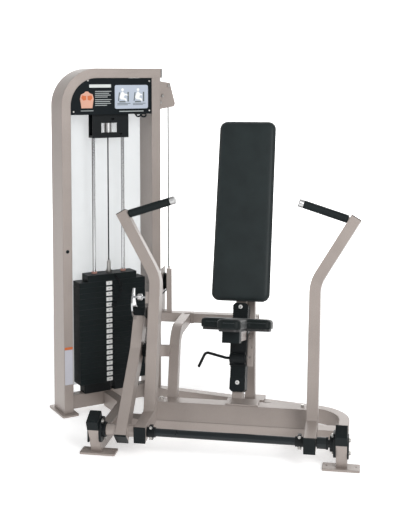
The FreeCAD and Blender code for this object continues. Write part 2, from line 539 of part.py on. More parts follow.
# index strip with holes, right of the carriage
# release rod: leaves the pivot tube to the left, rises a little, bends down
c0 = SP.multVec(V(0, -36, BARREL_S))
ry, rz = c0.y, c0.z
rp = [V(36, ry, rz), V(-60, ry, rz), V(-166, ry, rz + 25), V(-203, ry, rz - 54)]
def rod_path(P, radii, r):
    edges, cur = [], P[0]
    for i in range(1, len(P) - 1):
        d1 = unit(P[i] - P[i - 1]); d2 = unit(P[i + 1] - P[i])
        th = d1.getAngle(d2)
        L = radii[i - 1] * tan(th / 2)
        a, b = P[i] - d1 * L, P[i] + d2 * L
        n = unit(d2 - d1)
        c = P[i] + n * (radii[i - 1] / cos(th / 2))
        mid = c - n * radii[i - 1]
        edges.append(Part.LineSegment(cur, a).toShape())
        edges.append(Part.Arc(a, mid, b).toShape())
        cur = b
    edges.append(Part.LineSegment(cur, P[-1]).toShape())
    w = Part.Wire(edges)
    prof = Part.Wire([Part.makeCircle(r, P[0], P[1] - P[0])])
    s = w.makePipeShell([prof], True, False)
    if s.Volume < 0:
        s.reverse()
    return s
parts["seat_release_rod"] = rod_path(rp, [40, 22], 7.0)
# back pad
def pad(x, y0, y1, s0, s1, r):
    b = box(-x, x, y0, y1, s0, s1)
    return rounded(b, r, lambda e: along(e, EY))
parts["back_cushion"] = sp(pad(PAD_W / 2, -PAD_T - BOARD_T, -BOARD_T, PAD_S0, PAD_S1, 40))
parts["back_board"] = sp(pad(PAD_W / 2 - 8, -BOARD_T + .3, 0, PAD_S0 + 8, PAD_S1 - 8, 34))

# ------------------------------------------------------------------ press arms
al = radians(ARM_LEAN)
sdir = (sin(al), cos(al))                        # y, z
pbk = (cos(al), -sin(al))
F0 = (166.0, 178.0)
c0y, c0z = F0[0] + 37.5 * pbk[0], F0[1] + 37.5 * pbk[1]
fdir = (cos(radians(3.6)), sin(radians(3.6)))
# foot centreline passes the pivot
def isect(p, u, q, v):
    det = u[0] * (-v[1]) - u[1] * (-v[0])
    dx, dy = q[0] - p[0], q[1] - p[1]
    t = (dx * (-v[1]) - dy * (-v[0])) / det
    return (p[0] + u[0] * t, p[1] + u[1] * t)
C1 = isect((PY, PZ), fdir, (c0y, c0z), sdir)
tz = (ARM_Z_BEND - c0z) / sdir[1]
K = (c0y + sdir[0] * tz, ARM_Z_BEND)
E0 = (PY - fdir[0] * 41.5, PZ - fdir[1] * 41.5)
def press_arm(sg):
    xc = sg * ARM_X
    b = radians(ARM_BEND)
    R = 170.0
    L = R * tan(b / 2)
    # path in the plane of (outward, shaft direction)
    e1 = (sg, 0, 0)
    e2 = (0, sdir[0], sdir[1])
    O = (xc, K[0], K[1])
    nn = (0, pbk[0], pbk[1])
    # trim the straight shaft where the bend starts
    Kt = (K[0] - sdir[0] * L, K[1] - sdir[1] * L)
    lo = band((0, 0, 0), EY, EZ, (1, 0, 0), [E0, C1, Kt], [50], ARM_DEPTH / 2, xc - ARM_W / 2, xc + ARM_W / 2)
    lo_i = band((0, 0, 0), EY, EZ, (1, 0, 0), [E0, C1, Kt], [50], ARM_DEPTH / 2 - 3, xc - ARM_W / 2 + 3, xc + ARM_W / 2 - 3, 6)
    pts2 = [(0, -L), (0, 0), (sin(b) * ARM_L2, cos(b) * ARM_L2)]
    hi = band(O, e1, e2, nn, pts2, [R], ARM_W / 2, -ARM_DEPTH / 2, ARM_DEPTH / 2)
    pts3 = [(0, -L - 6), (0, 0), (sin(b) * (ARM_L2 - 3), cos(b) * (ARM_L2 - 3))]
    hi_i = band(O, e1, e2, nn, pts3, [R], ARM_W / 2 - 3, -ARM_DEPTH / 2 + 3, ARM_DEPTH / 2 - 3)
    s = lo.fuse(hi).removeSplitter()
    s = s.cut(lo_i).cut(hi_i)
    s = s.cut(cyl((xc - 60, PY, PZ), EX, SHAFT_R, 120))
    end = V(*O) + V(*e1) * (sin(b) * ARM_L2) + V(*e2) * (cos(b) * ARM_L2)
    return s, end
armL, endL = press_arm(-1)
armR, endR = press_arm(1)
# handles: inward and up
def handle(end, sg):
    a = V(sg * 575, 408, 1103)
    tip = V(sg * 310, 391, 1190)
    d = unit(tip - a)
    L = (tip - a).Length
    core = Part.makeCylinder(12.5, L - 6, a, d)
    g0 = 26.0
    grip = Part.makeCylinder(20, L - g0 - 26, a + d * g0, d).cut(Part.makeCylinder(12.5, L, a, d))
    ring = Part.makeCylinder(20.5, 26, a + d * (L - 26), d)
    ring = rounded(ring, 3, lambda e: True).cut(Part.makeCylinder(12.5, L - 6, a, d))
    return core, grip, ring, a, d, L
hL = handle(endL, -1)
hR = handle(endR, 1)
ARMS = {-1: armL.fuse(hL[0]), 1: armR.fuse(hR[0])}
parts["handle_grips"] = group([hL[1].cut(armL), hR[1].cut(armR)])
parts["handle_end_rings"] = group([hL[2], hR[2]])
def arm_cap(sg):
    xc = sg * ARM_X
    d = (fdir[0], fdir[1])
    O = (0, 0, 0)
    a = (E0[0] - d[0] * 8, E0[1] - d[1] * 8)
    c = band(O, EY, EZ, (1, 0, 0), [a, E0], [], ARM_DEPTH / 2 + 1, xc - ARM_W / 2 - 1, xc + ARM_W / 2 + 1)
    q = (E0[0] + d[0] * 12, E0[1] + d[1] * 12)
    c = c.fuse(band(O, EY, EZ, (1, 0, 0), [E0, q], [], ARM_DEPTH / 2 - 3.2, xc - ARM_W / 2 + 3.2, xc + ARM_W / 2 - 3.2))
    return c.removeSplitter()
parts["arm_foot_caps"] = group([arm_cap(-1), arm_cap(1)])
shaft = cyl((-597, PY, PZ), EX, SHAFT_R, 1112).fuse(cyl((430, PY, PZ), EX, 27, 42)).removeSplitter()
parts["pivot_shaft"] = shaft
def clamp(sg):
    x0 = 330 if sg > 0 else -371
    c = cyl((x0, PY, PZ), EX, 24, 41).fuse(box(x0 + 12, x0 + 29, PY - 11, PY + 11, PZ - 34, PZ + 34))
    return c.removeSplitter().cut(cyl((x0 - 5, PY, PZ), EX, SHAFT_R, 60))
CL = [clamp(1), clamp(-1)]
CL.append(cyl((472, PY, PZ), EX, 29, 10).cut(cyl((460, PY, PZ), EX, SHAFT_R, 80)))
parts["shaft_collars"] = group(CL)
# flange bearings on the inner faces of the posts
def bearing(x0, s):
    """x0 = post face, s = direction away from the post"""
    a = x0 if s > 0 else x0 - 12
    plate_ = box(a, a + 12, PY - 42, PY + 42, PZ - 56, PZ + 56)
    plate_ = rounded(plate_, 22, lambda e: along(e, EX))
    b0 = x0 + 12 if s > 0 else x0 - 28
    p = plate_.fuse(cyl((b0, PY, PZ), EX, 36, 16)).removeSplitter()
    return p.cut(cyl((x0 - 60, PY, PZ), EX, SHAFT_R + .05, 120))
XL, XR = POST_L + 25.5, POST_R - 25.5
back = [box(POST_R + 25.5, POST_R + 33.5, -16, 40, 68, 168), box(POST_L - 33.5, POST_L - 25.5, -16, 40, 68, 168)]
parts["pivot_bearings"] = group([bearing(XL, 1), bearing(XR, -1)] + back)
for (y, z) in ((PY - 20, PZ + 46), (PY + 20, PZ - 46)):
    BOLTS.append(bolt(XL + 12, y, z, EX))
    BOLTS.append(bolt(XR - 12, y, z, (-1, 0, 0)))
for (y, z) in ((2, 152), (22, 84)):
    BOLTS.append(bolt(POST_R + 33.5, y, z, EX))
    BOLTS.append(bolt(POST_L - 33.5, y, z, (-1, 0, 0)))
parts["frame_bolts"] = group(BOLTS)
parts["tube_caps"] = group([biggest(c.cut(parts["pivot_bearings"])) for c in CAPS])

# ------------------------------------------------------------------ drive lever
lx0, lx1 = LEVER_X - LEVER_W / 2, LEVER_X + LEVER_W / 2
la, lb = radians(43.5), radians(27.4)
ld = (sin(la), cos(la))
ld2 = (sin(lb), cos(lb))
LB = (PY + ld[0] * 423.0, PZ + ld[1] * 423.0)
LT = (LB[0] + ld2[0] * 170.0, LB[1] + ld2[1] * 170.0)
L0 = (PY - ld[0] * 40.0, PZ - ld[1] * 40.0)
lev = tube((0, 0, 0), EY, EZ, (1, 0, 0), [L0, LB, LT], [60], 37.5, lx0, lx1)
lev_o = band((0, 0, 0), EY, EZ, (1, 0, 0), [L0, LB, LT], [60], 37.5, lx0, lx1)
hub = cyl((-568, PY, PZ), EX, 28, 143)
lev = lev.fuse(hub).removeSplitter().cut(cyl((-700, PY, PZ), EX, SHAFT_R + .05, 400))
# anchor lug for the cable behind the lever head
cap_o = band((0, 0, 0), EY, EZ, (1, 0, 0), [LT, (LT[0] + ld2[0] * 60, LT[1] + ld2[1] * 60)], [], 39.2, lx0 - 3, lx1 + 3)
lug = box(LPX - 9, LPX + 9, 400, 451.6, 530, LP_Z - RC + 11).cut(lev_o).cut(cap_o)
lug = sorted(lug.Solids, key=lambda q: -q.BoundBox.YMax)[0]
parts["drive_lever"] = lev.fuse(lug).removeSplitter()
def lcap(p, d, s, out, plug, grow):
    a = (p[0], p[1])
    b = (p[0] + d[0] * out * s, p[1] + d[1] * out * s)
    q = (p[0] - d[0] * plug * s, p[1] - d[1] * plug * s)
    o = band((0, 0, 0), EY, EZ, (1, 0, 0), [a, b], [], 37.5 + grow, lx0 - grow, lx1 + grow)
    o = rounded(o, 6, lambda e: along(e, EX) and e.CenterOfMass.distanceToPoint(V(LEVER_X, b[0], b[1])) < 45)
    o = o.fuse(band((0, 0, 0), EY, EZ, (1, 0, 0), [q, a], [], 34.2, lx0 + 3.3, lx1 - 3.3))
    return o.removeSplitter()
# chrome range selector, a crescent plate standing out of the lever head
QX0, QX1 = -508.0, -500.0
PINY, PINZ = 310.0, 705.0
RQ = sqrt((PINY - PY) ** 2 + (PINZ - PZ) ** 2)
def q3(x, y, z):
    return V(x, y, z)
qa = Part.Arc(q3(QX0, 388, 590), q3(QX0, 262, 672), q3(QX0, 304, 752)).toShape()
qb = Part.LineSegment(q3(QX0, 304, 752), q3(QX0, 318, 748)).toShape()
qc = Part.Arc(q3(QX0, 318, 748), q3(QX0, 322, 690), q3(QX0, 402, 632)).toShape()
qd = Part.LineSegment(q3(QX0, 402, 632), q3(QX0, 388, 590)).toShape()
quad = Part.Face(Part.Wire([qa, qb, qc, qd])).extrude(V(QX1 - QX0, 0, 0))
a0 = atan2(PINZ - PZ, PINY - PY)
for k in (-1, 0, 1, 2):
    a = a0 - k * radians(3.0)
    quad = quad.cut(cyl((QX0 - 5, PY + RQ * cos(a), PZ + RQ * sin(a)), EX, 6.06, 20))
capt = lcap(LT, ld2, 1, 46, 14, 1.5)
parts["range_selector"] = quad.cut(lev_o)
capt = capt.cut(quad)
parts["lever_caps"] = group([lcap(L0, ld, -1, 8, 7, 1.0), biggest(capt)])
# spring pin in a block on the press arm
ARMXL = -ARM_X - ARM_W / 2
def armpt(z, off):
    t = (z - c0z) / sdir[1]
    return (c0y + sdir[0] * t - pbk[0] * off, z + pbk[1] * -off)
bl = band((0, 0, 0), EY, EZ, (1, 0, 0), [armpt(672, 8), armpt(728, 8)], [], 22, -443, ARMXL)
bl = bl.cut(cyl((-460, PINY, PINZ), EX, 6.05, 40))
arm_bore = cyl((-430, PINY, PINZ), EX, 6.5, 25)
stop_lug = box(-440, ARMXL, 288, 303, 395, 440)
kn = rounded(cyl((-486, PINY, PINZ), EX, 16, 24), 4, lambda e: True)
parts["range_pin"] = kn.fuse(cyl((-512, PINY, PINZ), EX, 6, 82)).removeSplitter()
parts["press_arm_left"] = ARMS[-1].cut(arm_bore).fuse([stop_lug, bl]).removeSplitter()
parts["press_arm_right"] = ARMS[1]
# lower pulley bracket on the tie tube
lb_ = box(LPX - 18, LPX - 13, LPY - 70, LPY + 20, 503, 747).fuse(box(LPX + 13, LPX + 18, LPY - 70, LPY + 20, 503, 747))
lb_ = lb_.fuse(box(LPX - 18, LPX + 18, LPY - 70, LPY - 22, 503, 508))
lb_ = lb_.fuse(box(LPX + 13, LPX + 42, LPY - 70, LPY - 65, 503, 747)).removeSplitter()
lb_ = lb_.cut(upright_solid)
parts["lower_pulley_bracket"] = biggest(lb_.cut(cyl((LPX - 60, LPY, LP_Z), EX, 8, 120)))
axs = [tw(cyl((UPT, STACK_D - 24, UP_Z), EY, 8, 48)), tw(cyl((CNT, 28, UP_Z), EY, 8, 66)), cyl((LPX - 20, LPY, LP_Z), EX, 8, 42)]
parts["pulley_axles"] = group(axs)
# rubber stop for the left press arm
bump = rounded(box(-461, -428, 303.3, 350, 404, 464), 6, lambda e: along(e, EY))
parts["rubber_buffers"] = group(CUSH + [bump])

if __name__ == "__main__":
    bb = FreeCAD.BoundBox()
    for n, s in parts.items():
        bb.add(s.BoundBox)
    print("bbox", bb.XMin, bb.XMax, bb.YMin, bb.YMax, bb.ZMin, bb.ZMax)
    for n, s in sorted(parts.items()):
        ok = s.isValid()
        so = s.Solids
        vols = [round(x.Volume) for x in so]
        if len(so) > 1:
            print("   multi", n, len(so))
        if not ok or min(vols) <= 0 or len(so) == 0:
            print("BAD", n, ok, vols)
        c = s.copy()
        if len(so) == 1:
            c = so[0].copy()
        c.translate(V(-OX, -OY, 0))
        c.exportStep("parts/%s.step" % n)
    print(len(parts), "parts")
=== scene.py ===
import bpy, bmesh, json, math, random
import numpy as np
from mathutils import Vector, Matrix


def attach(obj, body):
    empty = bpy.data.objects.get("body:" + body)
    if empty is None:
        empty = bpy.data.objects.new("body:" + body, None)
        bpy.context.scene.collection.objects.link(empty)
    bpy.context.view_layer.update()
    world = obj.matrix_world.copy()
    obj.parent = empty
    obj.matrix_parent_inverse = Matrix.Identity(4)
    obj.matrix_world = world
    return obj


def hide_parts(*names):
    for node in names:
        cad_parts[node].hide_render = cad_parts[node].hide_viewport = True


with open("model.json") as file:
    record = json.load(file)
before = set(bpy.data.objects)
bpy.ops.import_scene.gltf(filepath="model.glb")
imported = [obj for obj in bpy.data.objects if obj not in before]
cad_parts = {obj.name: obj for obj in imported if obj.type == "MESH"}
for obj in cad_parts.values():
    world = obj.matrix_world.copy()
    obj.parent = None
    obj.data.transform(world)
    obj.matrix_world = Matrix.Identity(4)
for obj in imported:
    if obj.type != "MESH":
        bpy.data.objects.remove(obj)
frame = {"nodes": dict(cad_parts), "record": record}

NODES = frame["nodes"]
OX, OY = -215.91, 473.90          # design millimetres to the row frame

def D(x, y, z):
    return Vector(((x - OX) / 1000, (y - OY) / 1000, z / 1000))

TH = math.radians(39.0)
TT, TN = (math.cos(TH), math.sin(TH)), (-math.sin(TH), math.cos(TH))
def tower(t, d, z):
    return D(-932 + t * TT[0] + d * TN[0], 495 + t * TT[1] + d * TN[1], z)
SL = math.radians(18.5)
def post(x, p, s):                 # seat post frame
    return D(x, 436 + s * math.sin(SL) + p * math.cos(SL), 162 + s * math.cos(SL) - p * math.sin(SL))
ST = math.radians(13.0)
SY, SZ = 526.0, 568.0
def seat(x, y, z):                 # seat cushion frame
    return D(x, SY + y * math.cos(ST) + z * math.sin(ST), SZ - y * math.sin(ST) + z * math.cos(ST))

# ------------------------------------------------------------------ materials
def nodes_of(name):
    m = bpy.data.materials.new(name)
    m.use_nodes = True
    nt = m.node_tree
    return m, nt, nt.nodes["Principled BSDF"]

def add(nt, kind, **kw):
    n = nt.nodes.new(kind)
    for k, v in kw.items():
        if k in n.inputs:
            n.inputs[k].default_value = v
        else:
            setattr(n, k, v)
    return n

def ramp(nt, fac, stops):
    r = nt.nodes.new("ShaderNodeValToRGB")
    r.color_ramp.elements[0].position, r.color_ramp.elements[0].color = stops[0][0], (*stops[0][1], 1)
    r.color_ramp.elements[1].position, r.color_ramp.elements[1].color = stops[-1][0], (*stops[-1][1], 1)
    for p, c in stops[1:-1]:
        e = r.color_ramp.elements.new(p)
        e.color = (*c, 1)
    nt.links.new(fac, r.inputs[0])
    return r

def surface(name, col, rough, metal=0.0, var=0.06, grain=600.0, bump=0.15, dist=0.0002, bevel=0.0015,
            spec=0.5, coat=0.0, wear=None, rough_var=0.08, stretch=None, second=None):
    m, nt, b = nodes_of(name)
    tc = nt.nodes.new("ShaderNodeTexCoord")
    src = tc.outputs["Object"]
    if stretch:
        mp = add(nt, "ShaderNodeMapping")
        mp.inputs["Scale"].default_value = stretch
        nt.links.new(src, mp.inputs["Vector"])
        src = mp.outputs[0]
    big = add(nt, "ShaderNodeTexNoise", Scale=9.0, Detail=4.0)
    nt.links.new(tc.outputs["Object"], big.inputs["Vector"])
    fine = add(nt, "ShaderNodeTexNoise", Scale=grain, Detail=3.0)
    nt.links.new(src, fine.inputs["Vector"])
    lo = tuple(max(0, c * (1 - var)) for c in col)
    hi = tuple(min(1, c * (1 + var)) for c in col)
    r = ramp(nt, big.outputs["Fac"], [(0.3, lo), (0.7, hi)])
    colout = r.outputs[0]
    if second:                                     # flakes or flecks
        r2 = ramp(nt, fine.outputs["Fac"], [(0.52, (0, 0, 0)), (0.66, (1, 1, 1))])
        mx = nt.nodes.new("ShaderNodeMix"); mx.data_type = "RGBA"
        nt.links.new(r2.outputs[0], mx.inputs[0])
        nt.links.new(colout, mx.inputs[6])
        mx.inputs[7].default_value = (*second, 1)
        colout = mx.outputs[2]
    if wear:
        bv = add(nt, "ShaderNodeBevel"); bv.inputs["Radius"].default_value = 0.004
        geo = nt.nodes.new("ShaderNodeNewGeometry")
        dt = nt.nodes.new("ShaderNodeVectorMath"); dt.operation = "DOT_PRODUCT"
        nt.links.new(bv.outputs[0], dt.inputs[0]); nt.links.new(geo.outputs["Normal"], dt.inputs[1])
        er = ramp(nt, dt.outputs["Value"], [(0.80, (1, 1, 1)), (0.97, (0, 0, 0))])
        mu = nt.nodes.new("ShaderNodeMath"); mu.operation = "MULTIPLY"
        nt.links.new(er.outputs[0], mu.inputs[0]); nt.links.new(fine.outputs["Fac"], mu.inputs[1])
        mx = nt.nodes.new("ShaderNodeMix"); mx.data_type = "RGBA"
        nt.links.new(mu.outputs[0], mx.inputs[0]); nt.links.new(colout, mx.inputs[6])
        mx.inputs[7].default_value = (*wear, 1)
        colout = mx.outputs[2]
    nt.links.new(colout, b.inputs["Base Color"])
    mr = add(nt, "ShaderNodeMapRange")
    mr.inputs["To Min"].default_value = max(0.02, rough - rough_var)
    mr.inputs["To Max"].default_value = min(1.0, rough + rough_var)
    nt.links.new(big.outputs["Fac"], mr.inputs["Value"])
    nt.links.new(mr.outputs[0], b.inputs["Roughness"])
    b.inputs["Metallic"].default_value = metal
    b.inputs["Specular IOR Level"].default_value = spec
    b.inputs["Coat Weight"].default_value = coat
    b.inputs["Coat Roughness"].default_value = 0.2
    bp = add(nt, "ShaderNodeBump", Strength=bump, Distance=dist)
    nt.links.new(fine.outputs["Fac"], bp.inputs["Height"])
    if bevel:
        bv = add(nt, "ShaderNodeBevel"); bv.inputs["Radius"].default_value = bevel
        nt.links.new(bv.outputs[0], bp.inputs["Normal"])
    nt.links.new(bp.outputs[0], b.inputs["Normal"])
    return m

PAINT = surface("powder_coat_taupe", (0.325, 0.280, 0.256), 0.40, metal=0.30, var=0.04, grain=900, bump=0.10, bevel=0.006, coat=0.15, second=(0.39, 0.35, 0.325))
PLASTIC = surface("moulded_black_plastic", (0.004, 0.007, 0.008), 0.46, spec=0.18, var=0.2, grain=1400, bump=0.25, bevel=0.002)
BLACKM = surface("black_powder_coat", (0.004, 0.006, 0.007), 0.42, metal=0.0, spec=0.2, var=0.15, grain=1100, bump=0.2, bevel=0.0015, wear=(0.06, 0.065, 0.07))
PLATEM = surface("weight_plate_coating", (0.004, 0.008, 0.009), 0.48, metal=0.0, spec=0.2, var=0.12, grain=700, bump=0.3, bevel=0.0018, wear=(0.05, 0.055, 0.06))
CHROME = surface("polished_chrome", (0.60, 0.61, 0.62), 0.13, metal=1.0, var=0.02, grain=2500, bump=0.02, bevel=0.001, rough_var=0.04)
STEEL = surface("zinc_steel", (0.50, 0.49, 0.47), 0.32, metal=1.0, var=0.05, grain=1500, bump=0.08, bevel=0.001)
SILVER = surface("cast_aluminium", (0.60, 0.60, 0.60), 0.30, metal=1.0, var=0.04, grain=1500, bump=0.06, bevel=0.0012)
RUBBER = surface("soft_rubber", (0.007, 0.009, 0.010), 0.62, var=0.2, grain=1200, bump=0.4, bevel=0.002, spec=0.2)
BUSH = surface("bush_plastic", (0.56, 0.30, 0.25), 0.45, var=0.06, bevel=0.001)
BOARD = surface("printed_board", (0.003, 0.006, 0.008), 0.36, var=0.10, spec=0.15, grain=1600, bump=0.08, bevel=0.001)
PANEL = surface("printed_panel_light", (0.60, 0.63, 0.62), 0.35, var=0.03, bevel=0.0)
PRINT = surface("printed_grey", (0.33, 0.36, 0.36), 0.4, var=0.05, bevel=0.0)
PRINTD = surface("printed_dark", (0.10, 0.12, 0.12), 0.4, var=0.05, bevel=0.0)
LABEL = surface("white_label", (0.80, 0.81, 0.80), 0.4, var=0.03, bevel=0.0)
CABLE = surface("cable_jacket", (0.008, 0.008, 0.010), 0.45, spec=0.15, var=0.1, grain=800, bump=0.2, bevel=0.0)
WOOD = surface("pad_board_black", (0.018, 0.018, 0.019), 0.5, var=0.25, grain=120, bump=0.3, stretch=(1, 12, 1), bevel=0.002)
THREAD = surface("stitch_thread", (0.05, 0.065, 0.068), 0.7, var=0.1, grain=2500, bump=0.6, dist=0.0004, bevel=0.0)

def grip_rubber():
    m = surface("grip_rubber", (0.006, 0.010, 0.011), 0.6, var=0.15, grain=1500, bump=0.5, dist=0.0005, bevel=0.002, spec=0.22)
    return m
GRIP = grip_rubber()
FIG = surface("printed_skin_tone", (0.62, 0.33, 0.24), 0.45, var=0.06, bevel=0.0)
STICKER = surface("blank_sticker", (0.47, 0.47, 0.52), 0.4, var=0.05, bevel=0.0)
PANELB = surface("printed_panel_blue", (0.42, 0.47, 0.55), 0.35, var=0.03, bevel=0.0)
STRIP = surface("orange_strip", (0.55, 0.13, 0.035), 0.4, var=0.05, bevel=0.0)

def vinyl():
    m, nt, b = nodes_of("upholstery_vinyl")
    tc = nt.nodes.new("ShaderNodeTexCoord")
    vo = add(nt, "ShaderNodeTexVoronoi", Scale=420.0); vo.feature = "DISTANCE_TO_EDGE"
    nz = add(nt, "ShaderNodeTexNoise", Scale=12.0, Detail=5.0)
    wr = add(nt, "ShaderNodeTexNoise", Scale=40.0, Detail=4.0)
    for n in (vo, nz, wr):
        nt.links.new(tc.outputs["Object"], n.inputs["Vector"])
    r = ramp(nt, nz.outputs["Fac"], [(0.3, (0.008, 0.013, 0.014)), (0.7, (0.011, 0.018, 0.019))])
    nt.links.new(r.outputs[0], b.inputs["Base Color"])
    mr = add(nt, "ShaderNodeMapRange"); mr.inputs["To Min"].default_value = 0.40; mr.inputs["To Max"].default_value = 0.56
    nt.links.new(nz.outputs["Fac"], mr.inputs["Value"]); nt.links.new(mr.outputs[0], b.inputs["Roughness"])
    b.inputs["Specular IOR Level"].default_value = 0.26
    b.inputs["Sheen Weight"].default_value = 0.10
    b1 = add(nt, "ShaderNodeBump", Strength=0.35, Distance=0.0006)
    nt.links.new(vo.outputs["Distance"], b1.inputs["Height"])
    b2 = add(nt, "ShaderNodeBump", Strength=0.12, Distance=0.004)
    nt.links.new(wr.outputs["Fac"], b2.inputs["Height"])
    nt.links.new(b2.outputs[0], b1.inputs["Normal"]); nt.links.new(b1.outputs[0], b.inputs["Normal"])
    return m
VINYL = vinyl()
# darker copy of the same vinyl for the seat: painted shade, colour and specular lowered to stand in for shade on the
# seat's top
VINYL_SEAT_SHADED = VINYL.copy(); VINYL_SEAT_SHADED.name = "upholstery_vinyl_seat_painted_shade"
for n_ in VINYL_SEAT_SHADED.node_tree.nodes:
    if n_.bl_idname == "ShaderNodeValToRGB":
        for e_ in n_.color_ramp.elements:
            c_ = e_.color
            e_.color = (c_[0] * .45, c_[1] * .5, c_[2] * .5, 1)
    if n_.bl_idname == "ShaderNodeBsdfPrincipled":
        n_.inputs["Specular IOR Level"].default_value = 0.16

def shroud():
    m = surface("translucent_shroud", (0.70, 0.72, 0.73), 0.35, var=0.03, grain=700, bump=0.05, bevel=0.001)
    nt = m.node_tree
    out = nt.nodes["Material Output"]; b = nt.nodes["Principled BSDF"]
    tr = nt.nodes.new("ShaderNodeBsdfTransparent"); tl = nt.nodes.new("ShaderNodeBsdfTranslucent")
    tl.inputs[0].default_value = (0.80, 0.82, 0.83, 1)
    m1 = nt.nodes.new("ShaderNodeMixShader"); m1.inputs[0].default_value = 0.5
    nt.links.new(b.outputs[0], m1.inputs[1]); nt.links.new(tl.outputs[0], m1.inputs[2])
    m2 = nt.nodes.new("ShaderNodeMixShader"); m2.inputs[0].default_value = 0.35
    nt.links.new(m1.outputs[0], m2.inputs[1]); nt.links.new(tr.outputs[0], m2.inputs[2])
    nt.links.new(m2.outputs[0], out.inputs[0])
    return m
SHROUD = shroud()

SLOT_MAT = dict(frame_paint=PAINT, vinyl=VINYL, black_plastic=PLASTIC, chrome_steel=CHROME, steel=STEEL, black_metal=BLACKM,
                rubber_part=RUBBER, shroud=SHROUD, board=BOARD, cable_cover=CABLE, bush=BUSH, silver=SILVER, board_wood=WOOD)
SLOTS = {s["node"]: s["material_slot"] for s in frame["record"]["subparts"]}
SHAFT = surface("black_oxide_shaft", (0.010, 0.014, 0.016), 0.30, metal=0.2, spec=0.4, var=0.1, grain=1500, bump=0.1, bevel=0.001)
OVER = dict(pivot_shaft=SHAFT, lifted_plates=PLATEM, resting_plates=PLATEM, head_plate=PLATEM, handle_grips=GRIP)
for n, o in NODES.items():
    m = OVER.get(n, SLOT_MAT[SLOTS[n]])
    if not o.material_slots:
        o.data.materials.append(m)
    for sl in o.material_slots:
        sl.material = m

# ------------------------------------------------------------------ mesh helpers
def obj_from(name, verts, faces, mat, body, smooth=False):
    me = bpy.data.meshes.new(name)
    me.from_pydata([tuple(v) for v in verts], [], faces)
    me.validate(); me.update()
    bm = bmesh.new(); bm.from_mesh(me)
    bmesh.ops.recalc_face_normals(bm, faces=bm.faces)
    bm.to_mesh(me); bm.free()
    if smooth:
        for p in me.polygons:
            p.use_smooth = True
    o = bpy.data.objects.new(name, me)
    bpy.context.scene.collection.objects.link(o)
    me.materials.append(mat)
    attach(o, body)
    return o

def prism(outline, d0, d1, conv, chamfer=0.0):
    """Closed slab from an outline in (a, b) with thickness d0..d1; conv maps (a, d, b)."""
    n = len(outline)
    cx = sum(p[0] for p in outline) / n; cy = sum(p[1] for p in outline) / n
    rings = [(d1, 0.0), (d0 + (d1 - d0) * 0.35, 0.0), (d0, chamfer)]
    verts, faces = [], []
    for d, c in rings:
        for a, b in outline:
            r = math.hypot(a - cx, b - cy) or 1
            verts.append(conv(a - (a - cx) / r * c, d, b - (b - cy) / r * c))
    for k in range(len(rings) - 1):
        for i in range(n):
            j = (i + 1) % n
            faces.append((k * n + i, k * n + j, (k + 1) * n + j, (k + 1) * n + i))
    faces.append(tuple(range(n)))
    faces.append(tuple((len(rings) - 1) * n + i for i in range(n)))
    return verts, faces

def rrect(a0, a1, b0, b1, r, k=5):
    pts = []
    for cx, cy, s in ((a1 - r, b1 - r, 0), (a0 + r, b1 - r, 90), (a0 + r, b0 + r, 180), (a1 - r, b0 + r, 270)):
        for i in range(k + 1):
            a = math.radians(s + 90 * i / k)
            pts.append((cx + r * math.cos(a), cy + r * math.sin(a)))
    return pts

def join(parts):
    verts, faces = [], []
    for v, f in parts:
        o = len(verts)
        verts += list(v)
        faces += [tuple(i + o for i in q) for q in f]
    return verts, faces

def sweep(path, r, k=10, closed=False, bumps=0.0, seed=1):
    """Round tube round a path of row-frame points; bumps makes weld ripples."""
    rnd = random.Random(seed)
    P = [Vector(p) for p in path]
    n = len(P)
    verts, faces = [], []
    up = Vector((0.1, 0.2, 1)).normalized()
    for i in range(n):
        a = P[i - 1] if (closed or i) else P[0]
        b = P[(i + 1) % n] if (closed or i < n - 1) else P[-1]
        t = (b - a)
        if t.length < 1e-9:
            t = Vector((0, 0, 1))
        t.normalize()
        u = up - t * up.dot(t)
        if u.length < 0.1:
            u = Vector((1, 0, 0)) - t * t.x
        u.normalize(); w = t.cross(u)
        up = u
        rr = r * (1 + bumps * math.sin(i * 2.1) + bumps * 0.5 * (rnd.random() - .5))
        for j in range(k):
            q = 2 * math.pi * j / k
            verts.append(P[i] + u * rr * math.cos(q) + w * rr * math.sin(q))
    m = n if closed else n - 1
    for i in range(m):
        for j in range(k):
            a, b = i * k + j, i * k + (j + 1) % k
            c, d = ((i + 1) % n) * k + (j + 1) % k, ((i + 1) % n) * k + j
            faces.append((a, b, c, d))
    if not closed:
        faces.append(tuple(range(k)))
        faces.append(tuple((n - 1) * k + j for j in range(k)))
    return verts, faces

def lathe(profile, o, axis, seg=32):
    """profile = [(along, radius)] in mm, origin o in metres, closed with caps."""
    ax = Vector(axis).normalized()
    u = ax.orthogonal().normalized(); w = ax.cross(u)
    verts, faces = [], []
    for l, r in profile:
        for j in range(seg):
            q = 2 * math.pi * j / seg
            verts.append(o + ax * (l / 1000) + (u * math.cos(q) + w * math.sin(q)) * (r / 1000))
    for i in range(len(profile) - 1):
        for j in range(seg):
            a, b = i * seg + j, i * seg + (j + 1) % seg
            faces.append((a, b, b + seg, a + seg))
    faces.append(tuple(range(seg)))
    faces.append(tuple((len(profile) - 1) * seg + j for j in range(seg)))
    return verts, faces

# ------------------------------------------------------------------ pads
def sd_rrect(px, py, cx, cy, hx, hy, r):
    qx = np.abs(px - cx) - (hx - r); qy = np.abs(py - cy) - (hy - r)
    return np.hypot(np.maximum(qx, 0), np.maximum(qy, 0)) + np.minimum(np.maximum(qx, qy), 0) - r

